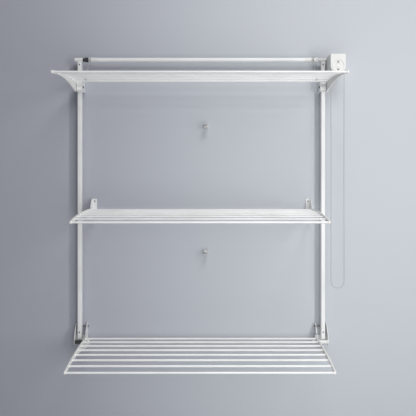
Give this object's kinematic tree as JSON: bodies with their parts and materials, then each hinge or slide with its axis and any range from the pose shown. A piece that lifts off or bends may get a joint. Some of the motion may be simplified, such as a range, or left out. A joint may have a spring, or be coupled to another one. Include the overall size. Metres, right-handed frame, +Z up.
{
  "type": "wall mounted fold down drying rack",
  "caption": "Wall rack for drying laundry: fold-away shelves of parallel rods between arched arms on two posts, with a pull-cord winch that raises and lowers the top shelf.",
  "frame": {"origin": "on the wall plane, midway between the posts, level with the pivots of the lowest shelf", "axes": "+X along the wall to the viewer's right, +Y into the wall, +Z up; the rack stands out towards -Y"},
  "size_m": [1.2783, 0.4805, 1.3808],
  "materials": {
    "white_enamel": "satin white enamel on steel tube and sheet",
    "white_arm_plastic": "moulded glass-filled nylon, warm white, satin",
    "white_plastic": "moulded white plastic, fine satin",
    "black_plastic": "moulded black plastic",
    "zinc_steel": "zinc plated, satin",
    "white_cord": "braided polyester cord"
  },
  "bodies": {
    "wall_frame": {"left_post": "white_enamel", "left_bottom_bracket": "white_enamel", "left_mid_bracket": "white_enamel", "left_top_bracket": "white_enamel", "left_bottom_pivot_axle": "black_plastic", "left_mid_pivot_pin": "zinc_steel", "left_top_pivot_pin": "zinc_steel", "right_post": "white_enamel", "right_bottom_bracket": "white_enamel", "right_mid_bracket": "white_enamel", "right_top_bracket": "white_enamel", "right_bottom_pivot_axle": "white_plastic", "right_mid_pivot_pin": "zinc_steel", "right_top_pivot_pin": "zinc_steel", "left_post_head": "white_plastic", "right_post_head": "white_plastic", "left_idler_bush": "black_plastic", "left_lifting_cord": "white_cord", "right_lifting_cord": "white_cord", "winch_housing": "white_plastic", "winch_cover": "white_plastic", "bottom_shelf_wall_hook": "white_plastic", "mid_shelf_wall_hook": "white_plastic", "pull_cord": "white_cord"},
    "top_shelf": {"top_shelf_left_arm": "white_arm_plastic", "top_shelf_right_arm": "white_arm_plastic", "top_shelf_rod_1": "white_enamel", "top_shelf_rod_2": "white_enamel", "top_shelf_rod_3": "white_enamel", "top_shelf_rod_4": "white_enamel", "top_shelf_rod_5": "white_enamel", "top_shelf_rod_6": "white_enamel", "top_shelf_rod_7": "white_enamel", "top_shelf_rod_8": "white_enamel"},
    "mid_shelf": {"mid_shelf_left_arm": "white_arm_plastic", "mid_shelf_right_arm": "white_arm_plastic", "mid_shelf_rod_1": "white_enamel", "mid_shelf_rod_2": "white_enamel", "mid_shelf_rod_3": "white_enamel", "mid_shelf_rod_4": "white_enamel", "mid_shelf_rod_5": "white_enamel", "mid_shelf_rod_6": "white_enamel", "mid_shelf_rod_7": "white_enamel", "mid_shelf_rod_8": "white_enamel"},
    "bottom_shelf": {"bottom_shelf_left_arm": "white_arm_plastic", "bottom_shelf_right_arm": "white_arm_plastic", "bottom_shelf_rod_1": "white_enamel", "bottom_shelf_rod_2": "white_enamel", "bottom_shelf_rod_3": "white_enamel", "bottom_shelf_rod_4": "white_enamel", "bottom_shelf_rod_5": "white_enamel", "bottom_shelf_rod_6": "white_enamel", "bottom_shelf_rod_7": "white_enamel", "bottom_shelf_rod_8": "white_enamel"},
    "roller": {"roller_tube": "white_enamel", "left_lift_drum": "white_plastic", "right_lift_drum": "white_plastic", "winch_drive_shaft": "white_plastic"},
    "countershaft": {"winch_countershaft": "white_plastic"},
    "cord_wheel": {"winch_cord_wheel": "white_plastic"}
  },
  "joints": [
    {"name": "top_shelf_fold", "type": "hinge", "parent": "wall_frame", "child": "top_shelf", "pos_m": [0, -0.05, 1.212], "axis": [1, 0, 0], "range_deg": [0, 86], "deforming": ["left_lifting_cord", "right_lifting_cord"]},
    {"name": "mid_shelf_fold", "type": "hinge", "parent": "wall_frame", "child": "mid_shelf", "pos_m": [0, -0.05, 0.606], "axis": [-1, 0, 0], "range_deg": [0, 90]},
    {"name": "bottom_shelf_fold", "type": "hinge", "parent": "wall_frame", "child": "bottom_shelf", "pos_m": [0, -0.05, 0], "axis": [-1, 0, 0], "range_deg": [0, 90]},
    {"name": "roller_turn", "type": "hinge", "parent": "wall_frame", "child": "roller", "pos_m": [0, -0.035, 1.345], "axis": [1, 0, 0], "range_deg": [0, 460]},
    {"name": "countershaft_turn", "type": "hinge", "parent": "wall_frame", "child": "countershaft", "pos_m": [0.635, -0.035, 1.328], "axis": [1, 0, 0], "range_deg": [-460, 0]},
    {"name": "cord_wheel_turn", "type": "hinge", "parent": "wall_frame", "child": "cord_wheel", "pos_m": [0.635, -0.11, 1.301], "axis": [0, 1, 0], "range_deg": [0, 2760]}
  ],
  "couplings": [
    {"joint": "roller_turn", "follows": "top_shelf_fold", "ratio": 5.33},
    {"joint": "countershaft_turn", "follows": "top_shelf_fold", "ratio": -5.33},
    {"joint": "cord_wheel_turn", "follows": "top_shelf_fold", "ratio": 31.98}
  ]
}
